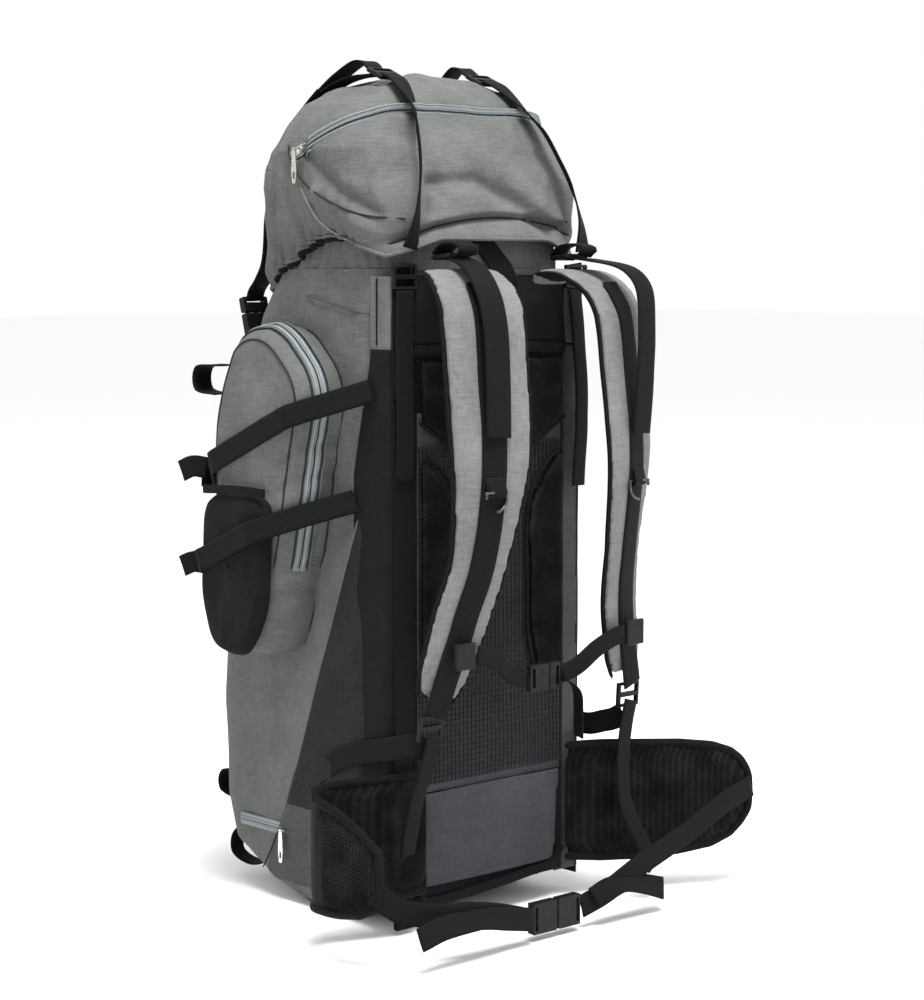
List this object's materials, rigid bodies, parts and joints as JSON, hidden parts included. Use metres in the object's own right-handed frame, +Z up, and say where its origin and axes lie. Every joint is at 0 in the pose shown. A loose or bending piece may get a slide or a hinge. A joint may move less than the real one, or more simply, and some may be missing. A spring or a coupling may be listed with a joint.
{
  "type": "hiking backpack",
  "caption": "Tall top-loading hiking backpack with domed hinged lid, zipped side pockets, padded harness with sternum strap, and padded hip belt.",
  "frame": {"origin": "on the ground under the middle of the bag's width, on the underside of the base patch", "axes": "+Z up, +X to the wearer's right, harness and hip belt face -Y, front of the bag faces +Y"},
  "size_m": [0.5757, 0.4857, 0.9371],
  "materials": {
    "grey_polyester": "plain-woven polyester, matt",
    "strap_polyester": "plain-woven polyester over foam, matt",
    "slate_polyester": "plain-woven polyester, matt",
    "black_polyester": "plain-woven polyester, matt",
    "air_mesh": "knitted spacer mesh over foam",
    "net": "open mesh net",
    "webbing": "woven webbing",
    "zip_tape": "coil zip and tape",
    "acetal": "moulded acetal, satin",
    "zinc": "plated zinc die casting",
    "stay_aluminium": "rolled flat bar"
  },
  "bodies": {
    "pack": {"main_bag": "grey_polyester", "base_panel": "black_polyester", "bag_collar": "grey_polyester", "frame_stays": "stay_aluminium", "back_panel": "black_polyester", "vent_net": "net", "back_pad_upper": "air_mesh", "back_pad_left": "air_mesh", "back_pad_right": "air_mesh", "lumbar_pad": "slate_polyester", "edge_straps": "webbing", "haul_strap": "webbing", "side_pocket_left": "grey_polyester", "side_pocket_right": "grey_polyester", "pocket_zips": "zip_tape", "open_pocket_left": "black_polyester", "open_pocket_right": "black_polyester", "compression_straps": "webbing", "pack_locks": "acetal", "daisy_chains": "webbing", "front_loops": "webbing", "lid_buckle_sockets": "acetal", "lid_strap_ends": "webbing", "bottom_zip": "zip_tape"},
    "lid": {"lid_shell": "grey_polyester", "lid_floor": "black_polyester", "lid_zip": "zip_tape", "lid_straps": "webbing", "lid_locks": "acetal", "lid_buckle_prongs": "acetal"},
    "lid_slider": {"lid_slider": "zinc"},
    "lid_pull": {"lid_pull": "zinc"},
    "pocket_slider_left": {"pocket_slider_left": "zinc"},
    "pocket_pull_left": {"pocket_pull_left": "zinc"},
    "pocket_slider_right": {"pocket_slider_right": "zinc"},
    "pocket_pull_right": {"pocket_pull_right": "zinc"},
    "bottom_slider": {"bottom_slider": "zinc"},
    "bottom_pull": {"bottom_pull": "zinc"},
    "harness": {"shoulder_pad_left": "strap_polyester", "shoulder_pad_right": "strap_polyester", "strap_webbings": "webbing", "harness_locks": "acetal", "load_lifters": "webbing", "lower_webbings": "webbing"},
    "d_ring_left": {"d_ring_left": "acetal"},
    "d_ring_right": {"d_ring_right": "acetal"},
    "sternum": {"sternum_sliders": "acetal", "sternum_webbing_left": "webbing", "sternum_webbing_right": "webbing", "sternum_socket": "acetal"},
    "sternum_prongs": {"sternum_prongs": "acetal"},
    "hip_belt": {"hip_wing_left": "air_mesh", "hip_wing_right": "air_mesh", "hip_webbing_left": "webbing", "hip_webbing_right": "webbing", "hip_socket": "acetal"},
    "hip_prongs": {"hip_prongs": "acetal"}
  },
  "joints": [
    {"name": "lid_hinge", "type": "hinge", "parent": "pack", "child": "lid", "pos_m": [0, -0.139, 0.738], "axis": [1, 0, 0], "range_deg": [0, 92]},
    {"name": "lid_zip_travel", "type": "hinge", "parent": "lid", "child": "lid_slider", "pos_m": [-0.0724, -0.01, 0.839], "axis": [0, 0.4388, 0.8986], "range_deg": [0, 22]},
    {"name": "lid_pull_swing", "type": "hinge", "parent": "lid_slider", "child": "lid_pull", "pos_m": [-0.1712, -0.01, 0.839], "axis": [0, 1, 0], "range_deg": [0, 100]},
    {"name": "bottom_zip_travel", "type": "slide", "parent": "pack", "child": "bottom_slider", "axis": [0, 1, 0], "range_m": [0, 0.074]},
    {"name": "bottom_pull_swing", "type": "hinge", "parent": "bottom_slider", "child": "bottom_pull", "pos_m": [-0.151, 0.049, 0.084], "axis": [0, 1, 0], "range_deg": [0, 100]},
    {"name": "harness_swing", "type": "hinge", "parent": "pack", "child": "harness", "pos_m": [0, -0.141, 0.692], "axis": [-1, 0, 0], "range_deg": [0, 12], "deforming": ["lower_webbings"]},
    {"name": "sternum_slide", "type": "slide", "parent": "harness", "child": "sternum", "axis": [0, -0.2068, 0.9784], "range_m": [-0.02, 0.03]},
    {"name": "sternum_release", "type": "slide", "parent": "sternum", "child": "sternum_prongs", "axis": [1, 0, 0], "range_m": [0, 0.022], "deforming": ["sternum_webbing_right"]},
    {"name": "hip_belt_swing", "type": "hinge", "parent": "pack", "child": "hip_belt", "pos_m": [0, -0.1465, 0.176], "axis": [-1, 0, 0], "range_deg": [0, 30], "deforming": ["lower_webbings"]},
    {"name": "hip_release", "type": "slide", "parent": "hip_belt", "child": "hip_prongs", "axis": [1, 0, 0], "range_m": [0, 0.03], "deforming": ["hip_webbing_right"]},
    {"name": "pocket_zip_travel_left", "type": "slide", "parent": "pack", "child": "pocket_slider_left", "axis": [0, -0.0279, 0.9996], "range_m": [0, 0.042]},
    {"name": "pocket_pull_swing_left", "type": "hinge", "parent": "pocket_slider_left", "child": "pocket_pull_left", "pos_m": [-0.1741, 0.121, 0.418], "axis": [1, 0, 0], "range_deg": [0, 100]},
    {"name": "d_ring_swing_left", "type": "hinge", "parent": "harness", "child": "d_ring_left", "pos_m": [-0.10513, -0.25752, 0.48456], "axis": [-1, 0, 0], "range_deg": [0, 110]},
    {"name": "pocket_zip_travel_right", "type": "slide", "parent": "pack", "child": "pocket_slider_right", "axis": [0, -0.0279, 0.9996], "range_m": [0, 0.042]},
    {"name": "pocket_pull_swing_right", "type": "hinge", "parent": "pocket_slider_right", "child": "pocket_pull_right", "pos_m": [0.1741, 0.121, 0.418], "axis": [1, 0, 0], "range_deg": [0, 100]},
    {"name": "d_ring_swing_right", "type": "hinge", "parent": "harness", "child": "d_ring_right", "pos_m": [0.10513, -0.25752, 0.48456], "axis": [-1, 0, 0], "range_deg": [0, 110]}
  ]
}
